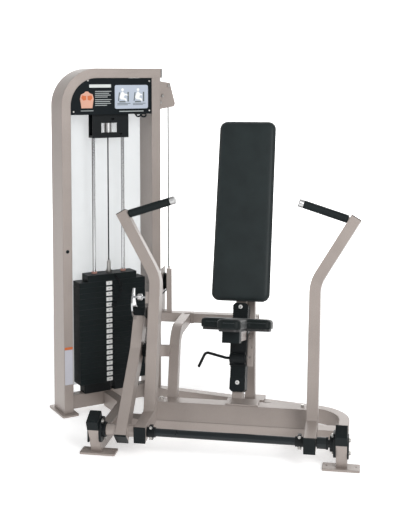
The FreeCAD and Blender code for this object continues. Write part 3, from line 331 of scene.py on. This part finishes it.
def cushion(name, node, to_local, to_world, sdf, t0, t1, body, frames, voxel=0.0075, r=17.0, crown=4.0):
    src = NODES[node]
    me = src.data.copy()
    o = bpy.data.objects.new(name, me)
    bpy.context.scene.collection.objects.link(o)
    co = np.empty(len(me.vertices) * 3); me.vertices.foreach_get("co", co)
    co = to_local(co.reshape(-1, 3))
    me.vertices.foreach_set("co", (co / 1000).ravel()); me.update()
    md = o.modifiers.new("r", "REMESH"); md.mode = "VOXEL"; md.voxel_size = voxel
    dg = bpy.context.evaluated_depsgraph_get()
    nm = bpy.data.meshes.new_from_object(o.evaluated_get(dg))
    o.modifiers.clear(); o.data = nm; me = nm
    n = len(me.vertices)
    co = np.empty(n * 3); me.vertices.foreach_get("co", co); co = co.reshape(-1, 3) * 1000
    d = -sdf(co[:, 0], co[:, 1])                                   # inside distance
    h = (co[:, 2] - t0) / (t1 - t0)
    dd = np.clip(d, 0, r)
    roof = t1 - r + np.sqrt(np.maximum(r * r - (r - dd) ** 2, 0)) + crown * (1 - np.exp(-np.clip(d, 0, 400) / 45.0)) - crown
    co[:, 2] = np.where(h > 0.5, np.minimum(co[:, 2], roof), co[:, 2])
    me.vertices.foreach_set("co", (co / 1000).ravel()); me.update()
    base = co.copy()
    pin = o.vertex_groups.new(name="pin")
    for i in np.nonzero(co[:, 2] < t0 + 9)[0]:
        pin.add([int(i)], 1.0, "REPLACE")
    if frames:
        sc = bpy.context.scene
        cl = o.modifiers.new("cloth", "CLOTH")
        s = cl.settings
        s.quality = 4; s.mass = 0.25; s.use_pressure = True; s.uniform_pressure_force = 3.0
        s.tension_stiffness = 25; s.compression_stiffness = 25; s.shear_stiffness = 12; s.bending_stiffness = 2.0
        s.tension_damping = 15; s.vertex_group_mass = "pin"; s.effector_weights.gravity = 0
        cl.collision_settings.use_collision = False; cl.collision_settings.use_self_collision = False
        cl.point_cache.frame_start = 1; cl.point_cache.frame_end = frames
        for f in range(1, frames + 1):
            sc.frame_set(f)
        dg = bpy.context.evaluated_depsgraph_get()
        nm = bpy.data.meshes.new_from_object(o.evaluated_get(dg))
        o.modifiers.clear(); o.data = nm; me = nm
        sc.frame_set(1)
        co = np.empty(n * 3); me.vertices.foreach_get("co", co); co = co.reshape(-1, 3) * 1000
        mv = co - base
        ln = np.linalg.norm(mv, axis=1, keepdims=True)
        co = base + mv * np.minimum(1, 5.0 / np.maximum(ln, 1e-6))     # at most 5 mm of puff
        co[:, 2] = np.maximum(co[:, 2], t0)
    # seam channel under the top panel's edge
    zs = t1 - r - 4
    near = np.exp(-((co[:, 2] - zs) / 3.0) ** 2) * (d < 14)
    cx, cy = co[:, 0].copy(), co[:, 1].copy()
    e = 1.0
    gx = (sdf(cx + e, cy) - sdf(cx - e, cy)) / 2; gy = (sdf(cx, cy + e) - sdf(cx, cy - e)) / 2
    co[:, 0] -= gx * near * 2.2; co[:, 1] -= gy * near * 2.2
    co = to_world(co)
    me.vertices.foreach_set("co", (co / 1000).ravel())
    me.update()
    me.materials.clear(); me.materials.append(VINYL)
    for p in me.polygons:
        p.use_smooth = True
        p.material_index = 0
    sm = o.modifiers.new("smooth", "SMOOTH"); sm.factor = 0.5; sm.iterations = 3
    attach(o, body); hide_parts(node)
    return o

def loc_post(co):
    x = co[:, 0] * 1000 + OX; y = co[:, 1] * 1000 + OY - 436; z = co[:, 2] * 1000 - 162
    s = y * math.sin(SL) + z * math.cos(SL); p = y * math.cos(SL) - z * math.sin(SL)
    return np.stack([x, s, -p], 1)
def wld_post(c):
    x, s, p = c[:, 0], c[:, 1], -c[:, 2]
    return np.stack([x - OX, 436 + s * math.sin(SL) + p * math.cos(SL) - OY, 162 + s * math.cos(SL) - p * math.sin(SL)], 1)
def loc_seat(co):
    x = co[:, 0] * 1000 + OX; y = co[:, 1] * 1000 + OY - SY; z = co[:, 2] * 1000 - SZ
    return np.stack([x, y * math.cos(ST) - z * math.sin(ST), y * math.sin(ST) + z * math.cos(ST)], 1)
def wld_seat(c):
    x, y, z = c[:, 0], c[:, 1], c[:, 2]
    return np.stack([x - OX, SY + y * math.cos(ST) + z * math.sin(ST) - OY, SZ - y * math.sin(ST) + z * math.cos(ST)], 1)
S0, S1 = 500.0, 1462.0
def sdf_back(x, y):
    return sd_rrect(x, y, 0, (S0 + S1) / 2, 150, (S1 - S0) / 2, 40)
def sdf_seat(x, y):
    a = sd_rrect(x, y, 0, -73, 178, 73, 26)
    b = sd_rrect(x, y, 0, -221.5, 59, 181.5, 30)
    k = 14.0
    hh = np.clip(0.5 + 0.5 * (b - a) / k, 0, 1)
    return b * (1 - hh) + a * hh - k * hh * (1 - hh)
back_pad = cushion("back_cushion_cover", "back_cushion", loc_post, wld_post, sdf_back, 8.0, 58.0, "frame", 14, voxel=0.0085)
seat_pad = cushion("seat_cushion_cover", "seat_cushion", loc_seat, wld_seat, sdf_seat, -50.0, 0.0, "seat", 14, voxel=0.007)

# the seat cover takes the darkened vinyl copy, which is painted shade
for sl_ in seat_pad.material_slots:
    sl_.material = VINYL_SEAT_SHADED
# piping along the seam
out = rrect(-149.4, 149.4, S0 + .6, S1 - .6, 39.5, 10)
def densify(pts, step, closed=True):
    res = []
    n = len(pts)
    for i in range(n if closed else n - 1):
        a, b = pts[i], pts[(i + 1) % n]
        L = math.dist(a, b); k = max(1, int(L / step))
        for j in range(k):
            res.append(tuple(a[q] + (b[q] - a[q]) * j / k for q in range(len(a))))
    return res
path = [post(a, -37.5, b) for a, b in densify(out, 12)]
v, f = sweep(path, 0.0024, 8, closed=True)
obj_from("back_pad_piping", v, f, VINYL, "frame", True)
seat_out = [(178 - 26, 0), (178, -26), (178, -120), (152, -146), (75, -146), (59, -162), (59, -373), (29, -403), (-29, -403), (-59, -373),
            (-59, -162), (-75, -146), (-152, -146), (-178, -120), (-178, -26), (-152, 0)]
def corner_round(pts, rad, k=5):
    res = []
    n = len(pts)
    for i in range(n):
        a, b, c = Vector(pts[i - 1]), Vector(pts[i]), Vector(pts[(i + 1) % n])
        d1, d2 = (a - b), (c - b)
        r = min(rad, d1.length * .45, d2.length * .45)
        p, q = b + d1.normalized() * r, b + d2.normalized() * r
        for j in range(k + 1):
            t = j / k
            res.append(tuple((1 - t) ** 2 * p + 2 * t * (1 - t) * b + t * t * q))
    return res
sp_ = corner_round(seat_out, 16)
v, f = sweep([seat(a, b, -21.5) for a, b in densify(sp_, 10)], 0.0024, 8, closed=True)
obj_from("seat_pad_piping", v, f, VINYL, "seat", True)

# ------------------------------------------------------------------ board print
def flat(name, outline, d0, d1, mat, body="frame"):
    v, f = prism(outline, d0, d1, lambda a, d, b: tower(a, d, b))
    return obj_from(name, v, f, mat, body)
flat("board_light_panel", rrect(304, 501, 1634, 1761, 10), 1.0, 2.0, PANELB)
flat("board_panel_inset", rrect(308, 497, 1638, 1757, 6), .6, 1.0, PANELB)
rows = []
for a0, a1, z in ((318, 396, 1662), (318, 380, 1655), (410, 486, 1662), (410, 470, 1655)):
    rows.append(prism(rrect(a0, a1, z - 1.6, z + 1.6, 1.2, 2), .2, .6, lambda a, d, b: tower(a, d, b)))
v, f = join(rows); obj_from("board_panel_lines", v, f, PRINTD, "frame")
# seated figure, generic
figs = []
for o in (0, 92):
    fig = [(330, 1690), (338, 1712), (346, 1722), (352, 1722), (360, 1712), (384 - (10 if o else 0), 1706), (384 - (10 if o else 0), 1700), (362, 1702), (356, 1690), (372, 1684), (374, 1672), (366, 1672), (362, 1678), (340, 1680)]
    figs.append(prism([(a + o, b + 4) for a, b in fig], .1, .6, lambda a, d, b: tower(a, d, b)))
    hd = [(349 + o + 8 * math.cos(a), 1736 + 8 * math.sin(a)) for a in [math.radians(24 * k) for k in range(15)]]
    figs.append(prism(hd, .1, .6, lambda a, d, b: tower(a, d, b)))
v, f = join(figs); obj_from("board_figures", v, f, LABEL, "frame")
seats = []
for o in (0, 92):
    seats.append(prism([(a + o, b) for a, b in ((322, 1676), (328, 1676), (334, 1722), (328, 1722))], .1, .6, lambda a, d, b: tower(a, d, b)))
    seats.append(prism([(a + o, b) for a, b in ((330, 1668), (366, 1668), (366, 1675), (330, 1675))], .1, .6, lambda a, d, b: tower(a, d, b)))
    seats.append(prism([(a + o, b) for a, b in ((378, 1672), (386, 1672), (386, 1724), (378, 1724))], .1, .6, lambda a, d, b: tower(a, d, b)))
v, f = join(seats); obj_from("board_seat_shapes", v, f, PRINTD, "frame")
torso = [(112, 1640), (108, 1668), (104, 1690), (110, 1712), (128, 1720), (136, 1728), (150, 1728), (158, 1720), (176, 1712), (182, 1690), (178, 1668), (174, 1640)]
flat("board_torso_shape", torso, 1.2, 2.0, FIG)
chest = []
for s in (-1, 1):
    c = [(143 + s * (4 + 0), 1704), (143 + s * 26, 1708), (143 + s * 32, 1694), (143 + s * 20, 1680), (143 + s * 4, 1684)]
    chest.append(prism(c, .7, 1.2, lambda a, d, b: tower(a, d, b)))
v, f = join(chest); obj_from("board_torso_chest", v, f, STRIP, "frame")
lines = []
for k, (a0, a1, z, h) in enumerate([(190, 284, 1728, 2), (190, 270, 1718, 2), (190, 280, 1708, 2), (190, 262, 1698, 2), (190, 284, 1684, 2), (190, 276, 1674, 2), (190, 281, 1664, 2), (190, 258, 1654, 2),
                                    (330, 474, 1620, 2.6), (108, 180, 1626, 1.8)]):
    lines.append(prism(rrect(a0, a1, z - h, z + h, 1.0, 2), 1.3, 2.0, lambda a, d, b: tower(a, d, b)))
v, f = join(lines); obj_from("board_text_bars", v, f, PRINT, "frame")
flat("board_title_bar", rrect(157, 282, 1748, 1765, 3), 1.2, 2.0, PANEL)
scr = []
for t, z in ((68, 1622), (510, 1622), (510, 1782), (150, 1786)):
    scr.append(lathe([(0, 5.2), (1.2, 5.0), (2.0, 3.2), (2.2, 0.6)], tower(t, 2.0, z), (-TN[0], -TN[1], 0), 18))
v, f = join(scr); obj_from("board_screws", v, f, STEEL, "frame", True)

# ------------------------------------------------------------------ weight plate labels, from CAD pitch
def label_set(name, ks, body):
    a, b = [], []
    for k in ks:
        z1 = 148 + (19 - k) * 29.4; z0 = z1 - 28.8
        zc = (z0 + z1) / 2
        a.append(prism(rrect(249, 283, zc - 10.5, zc + 10.5, 2, 3), 7.3, 8.0, lambda t, d, z: tower(t, d, z)))
        b.append(prism(rrect(262, 271, zc - 1.2, zc + 1.2, .5, 2), 7.0, 7.3, lambda t, d, z: tower(t, d, z)))
    v, f = join(a); obj_from(name, v, f, LABEL, body)
    v, f = join(b); obj_from(name + "_marks", v, f, PRINTD, body)
label_set("plate_labels_lifted", range(5), "stack")
label_set("plate_labels_resting", range(5, 19), "frame")

# ------------------------------------------------------------------ weld beads
def rect_loop(c, u, w, hu, hw, step=4.0):
    """Loop round a rectangular tube end; c design point, u and w unit axes."""
    c, u, w = Vector(c), Vector(u), Vector(w)
    pts = []
    for a, b in rrect(-hu, hu, -hw, hw, 4, 3):
        pts.append(tuple(c + u * a + w * b))
    return [D(*p) for p in densify(pts, step)]
welds = []
def weld(c, u, w, hu, hw, seed, r=0.0032):
    welds.append(sweep(rect_loop(c, u, w, hu, hw), r, 8, closed=True, bumps=0.16, seed=seed))
X, Y, Z = (1, 0, 0), (0, 1, 0), (0, 0, 1)
weld((-320, 830, 477.5), X, Z, 26, 26, 1)
weld((38, 829, 477.5), X, Z, 26, 26, 2)
weld((38, 723.5, 477.5), X, Z, 26, 26, 3)
weld((38, 697.5, 97), X, Y, 26, 26, 4)
weld((-598, 327, 60.5), Y, Z, 38.5, 26, 5)
weld((517, 327, 60.5), Y, Z, 38.5, 26, 6)
v, f = join(welds); obj_from("frame_weld_beads", v, f, PAINT, "frame", True)
hubw = []
for x in (-517.5, -462.5, -425.2):
    path = [D(x, 12 + 28.8 * math.cos(q), 127 + 28.8 * math.sin(q)) for q in [2 * math.pi * k / 48 for k in range(48)]]
    hubw.append(sweep(path, 0.003, 8, closed=True, bumps=0.15, seed=9))
v, f = join(hubw); obj_from("lever_weld_beads", v, f, PAINT, "lever", True)

# ------------------------------------------------------------------ small fittings
# screws on the seat carriage and the index strip beside the post
sc_ = []
for s in (188, 262, 330):
    sc_.append(lathe([(0, 6.5), (2.5, 6.3), (4.0, 4.5), (4.2, 1.0)], post(44, 72, s), (1, 0, 0), 18))
v, f = join(sc_); obj_from("carriage_screws", v, f, STEEL, "seat", True)
ring = lathe([(0, 19.0), (1.5, 21.2), (4, 21.2), (5, 19.5)], post(39.0, -36, 208), (1, 0, 0), 36)
ring2 = lathe([(0, 19.0), (1.5, 21.2), (4, 21.2), (5, 19.5)], post(-37, -36, 208), (-1, 0, 0), 36)
v, f = join([ring, ring2]); obj_from("release_tube_rings", v, f, PLASTIC, "seat", True)
# cover screws on light washers
n_ = post(0, -1, 0) - post(0, 0, 0)
cw, cs = [], []
for s in (88, 472):
    cw.append(lathe([(0, 10.5), (1.2, 10.5), (1.6, 9.6), (1.7, 5.8)], post(0, -14.1, s), n_, 28))
    cs.append(lathe([(0, 5.6), (3.2, 5.4), (4.2, 4.0), (4.25, 2.6), (3.0, 2.4), (2.9, .4)], post(0, -15.9, s), n_, 20))
v, f = join(cw); obj_from("cover_washers", v, f, LABEL, "frame", True)
v, f = join(cs); obj_from("cover_screws", v, f, STEEL, "frame", True)
# clamp screws beside the pivot
cl_ = []
for x in (-350.5, 350.5):
    for z in (-25, 25):
        cl_.append(lathe([(0, 7.5), (5, 7.5), (6.5, 6.4), (6.6, 3.2), (3.5, 3.0), (3.4, .5)], D(x, 12 - 11, 127 + z), (0, -1, 0), 20))
v, f = join(cl_); obj_from("clamp_screws", v, f, STEEL, "arms", True)
# blank sticker and plug on the left upright's front
flat("upright_sticker", rrect(3, 48, 168, 357, 3), -.9, -.15, STICKER)
flat("upright_sticker_strip", rrect(3, 48, 358, 372, 2), -.9, -.15, STRIP)
v, f = lathe([(0, 9.5), (1.4, 9.3), (2.2, 7.0), (2.3, 1.0)], tower(25.5, -.1, 885), (-TN[0], -TN[1], 0), 24)
obj_from("upright_plug", v, f, PLASTIC, "frame", True)
# lanyard from the head plate down to the selector knob
la = [tower(303, 4, 726), tower(308, -2, 712), tower(322, -8, 690), tower(330, -10, 664), tower(326, -10, 634), tower(312, -10, 606), tower(298, -12, 588), tower(290, -14, 579)]
def smooth_path(pts, k=7):
    out_ = []
    for i in range(len(pts) - 1):
        p0 = pts[max(i - 1, 0)]; p1 = pts[i]; p2 = pts[i + 1]; p3 = pts[min(i + 2, len(pts) - 1)]
        for j in range(k):
            t = j / k
            out_.append(0.5 * ((2 * p1) + (p2 - p0) * t + (2 * p0 - 5 * p1 + 4 * p2 - p3) * t * t + (3 * p1 - 3 * p2 + p0 - p3) * t ** 3))
    out_.append(pts[-1])
    return out_
v, f = sweep(smooth_path(la), 0.0016, 8)
lany = obj_from("selector_lanyard", v, f, CABLE, "stack", True)
# hook on the right upright
def hook(t0, t1, z):
    c = (t0 + t1) / 2; r = (t1 - t0) / 2
    return sweep([tower(t0, 1.5, z + 8), tower(t0, -5, z + 3)] + [tower(c - r * math.cos(q), -8, z - 10 * math.sin(q)) for q in [math.pi * k / 14 for k in range(15)]] + [tower(t1, -6, z + 3)], 0.0045, 8)
v, f = join([hook(424, 452, 1601), hook(456, 484, 1599)]); obj_from("board_hooks", v, f, PLASTIC, "frame", True)
v, f = prism(rrect(418, 490, 1602, 1613, 3), -1.5, 1.9, lambda a, d, b: tower(a, d, b))
obj_from("board_hook_base", v, f, PLASTIC, "frame")
# bolts on the two pulley brackets
bl = []
for t, z in ((597, 1664), (608, 1700), (646, 1755)):
    bl.append(lathe([(0, 8.5), (5.5, 8.5), (6.5, 7.2), (6.6, 3)], tower(t, 40, z), (-TN[0], -TN[1], 0), 6))
LPX, LPY = -466.2, 903.4
for y, z in ((LPY, 663), (LPY - 40, 556)):
    bl.append(lathe([(0, 8.5), (5.5, 8.5), (6.5, 7.2), (6.6, 3)], D(LPX + 18, y, z), (1, 0, 0), 6))
v, f = join(bl); obj_from("pulley_bracket_bolts", v, f, STEEL, "frame")
# ribs round the knob of the range pin
kn = []
for k in range(4):
    l = 3 + k * 5
    kn += [(l, 16.1), (l + 1, 16.8), (l + 3, 16.8), (l + 4, 16.1)]
v, f = lathe(kn, D(-486, 310, 705), (1, 0, 0), 32); obj_from("range_knob_ribs", v, f, SILVER, "pull_pin", True)
kk = []
for k in range(4):
    l = 4 + k * 5
    kk += [(l, 12.05), (l + 1, 12.7), (l + 3, 12.7), (l + 4, 12.05)]
v, f = lathe(kk, tower(287.5, -26, 574.2), (TN[0], TN[1], 0), 28); obj_from("selector_knob_ribs", v, f, PLASTIC, "weight_pin", True)
# ribs round the hand grips
def grip_ribs(sg):
    a = D(sg * 575, 408, 1103); tip = D(sg * 310, 391, 1190)
    d = (tip - a); L = d.length * 1000; d.normalize()
    out_ = []
    n = int((L - 60) / 9)
    for k in range(n):
        l = 30 + k * 9
        out_.append(lathe([(l, 19.9), (l + .8, 20.9), (l + 4.4, 20.9), (l + 5.2, 19.9)], a, d, 28))
    return out_
v, f = join(grip_ribs(-1) + grip_ribs(1)); obj_from("hand_grip_ribs", v, f, GRIP, "arms", True)

# thin black plugs on the arms' upper ends
AL, AB = math.radians(13.2), math.radians(31.0)
def arm_plug(sg):
    y0 = 166 + 37.5 * math.cos(AL); z0 = 178 - 37.5 * math.sin(AL)
    ky = y0 + math.tan(AL) * (800 - z0)
    e1 = Vector((sg, 0, 0)); e2 = Vector((0, math.sin(AL), math.cos(AL))); nn = Vector((0, math.cos(AL), -math.sin(AL)))
    ax = e1 * math.sin(AB) + e2 * math.cos(AB); sd = e1 * math.cos(AB) - e2 * math.sin(AB)
    O = Vector((sg * 398, ky, 800)) + ax * 375.0
    vs, n = [], 0
    for l, g in ((0.05, 0.6), (2.6, 0.6), (3.6, -1.6)):
        ol = rrect(-27 - g, 27 + g, -37.5 - g, 37.5 + g, 3, 3)
        n = len(ol)
        for a, b in ol:
            q = O + ax * l + sd * a + nn * b
            vs.append(D(q.x, q.y, q.z))
    fs = [tuple(range(n)), tuple(2 * n + i for i in range(n))]
    for k in range(2):
        for i in range(n):
            fs.append((k * n + i, k * n + (i + 1) % n, (k + 1) * n + (i + 1) % n, (k + 1) * n + i))
    return vs, fs
v, f = join([arm_plug(-1), arm_plug(1)]); obj_from("arm_end_plugs", v, f, PLASTIC, "arms")

# ------------------------------------------------------------------ view layer update
bpy.context.view_layer.update()

# ------------------------------------------------------------------ stage, light and camera
def stage_plane():
    me = bpy.data.meshes.new("studio_floor")
    v, f = [], []
    s = 14.0
    prof = [(-s, 0.0), (6.0, 0.0)] + [(6.0 + 3.0 * math.sin(q), 3.0 - 3.0 * math.cos(q)) for q in [math.pi / 2 * k / 10 for k in range(1, 11)]] + [(9.0, 14.0)]
    for y, z in prof:
        v += [(-s, y, z - 0.0005), (s, y, z - 0.0005)]
    for i in range(len(prof) - 1):
        f.append((2 * i, 2 * i + 1, 2 * i + 3, 2 * i + 2))
    me.from_pydata(v, [], f); me.update()
    for p in me.polygons:
        p.use_smooth = True
    o = bpy.data.objects.new("studio_floor", me)
    bpy.context.scene.collection.objects.link(o)
    m, nt, b = nodes_of("studio_white")
    tc = nt.nodes.new("ShaderNodeTexCoord")
    nz = add(nt, "ShaderNodeTexNoise", Scale=3.0)
    nt.links.new(tc.outputs["Object"], nz.inputs["Vector"])
    r = ramp(nt, nz.outputs["Fac"], [(0.3, (0.90, 0.90, 0.90)), (0.7, (0.92, 0.92, 0.92))])
    nt.links.new(r.outputs[0], b.inputs["Base Color"])
    b.inputs["Roughness"].default_value = 0.9
    b.inputs["Specular IOR Level"].default_value = 0.1
    b.inputs["Emission Color"].default_value = (1, 1, 1, 1)
    b.inputs["Emission Strength"].default_value = 0.42
    me.materials.append(m)
stage_plane()

def area(name, loc, target, size, power, col=(1, 1, 1)):
    l = bpy.data.lights.new(name, "AREA"); l.shape = "RECTANGLE"
    l.size, l.size_y, l.energy, l.color = size[0], size[1], power, col
    o = bpy.data.objects.new(name, l)
    bpy.context.scene.collection.objects.link(o)
    o.location = loc
    o.rotation_mode = "QUATERNION"
    o.rotation_quaternion = (Vector(target) - Vector(loc)).to_track_quat("-Z", "Y")
area("key", (3.2, -4.4, 3.3), (0, 0, 0.8), (2.4, 2.4), 200)
area("fill", (-4.2, -3.4, 2.6), (0, 0, 0.8), (3.0, 3.0), 62)
area("top", (0, 0.4, 4.8), (0, 0, 0.5), (4.0, 4.0), 10)
area("backwall", (0, 3.2, 4.0), (0, 9.0, 2.0), (8.0, 3.0), 420)
w = bpy.data.worlds.new("studio"); bpy.context.scene.world = w
w.use_nodes = True
w.node_tree.nodes["Background"].inputs[0].default_value = (1, 1, 1, 1)
w.node_tree.nodes["Background"].inputs[1].default_value = 0.42
bpy.context.scene.view_settings.view_transform = "Standard"
bpy.context.scene.view_settings.look = "None"

cam = bpy.data.cameras.new("camera")
co_ = bpy.data.objects.new("camera", cam)
bpy.context.scene.collection.objects.link(co_)
bpy.context.scene.camera = co_
cam.sensor_fit = "AUTO"; cam.sensor_width = 36.0
cam.lens = 991.8 / 510 * 36.0
cam.shift_y = -0.2
cam.shift_x = 1.79 / 510
cam.clip_start, cam.clip_end = 0.05, 60
yaw, th = math.radians(9.986), math.radians(4.556)
fw = Vector((-math.sin(yaw) * math.cos(th), math.cos(yaw) * math.cos(th), -math.sin(th)))
co_.location = D(663.1, -4464.2, 1820.2)
co_.rotation_mode = "QUATERNION"
co_.rotation_quaternion = fw.to_track_quat("-Z", "Y")
cam.dof.use_dof = False
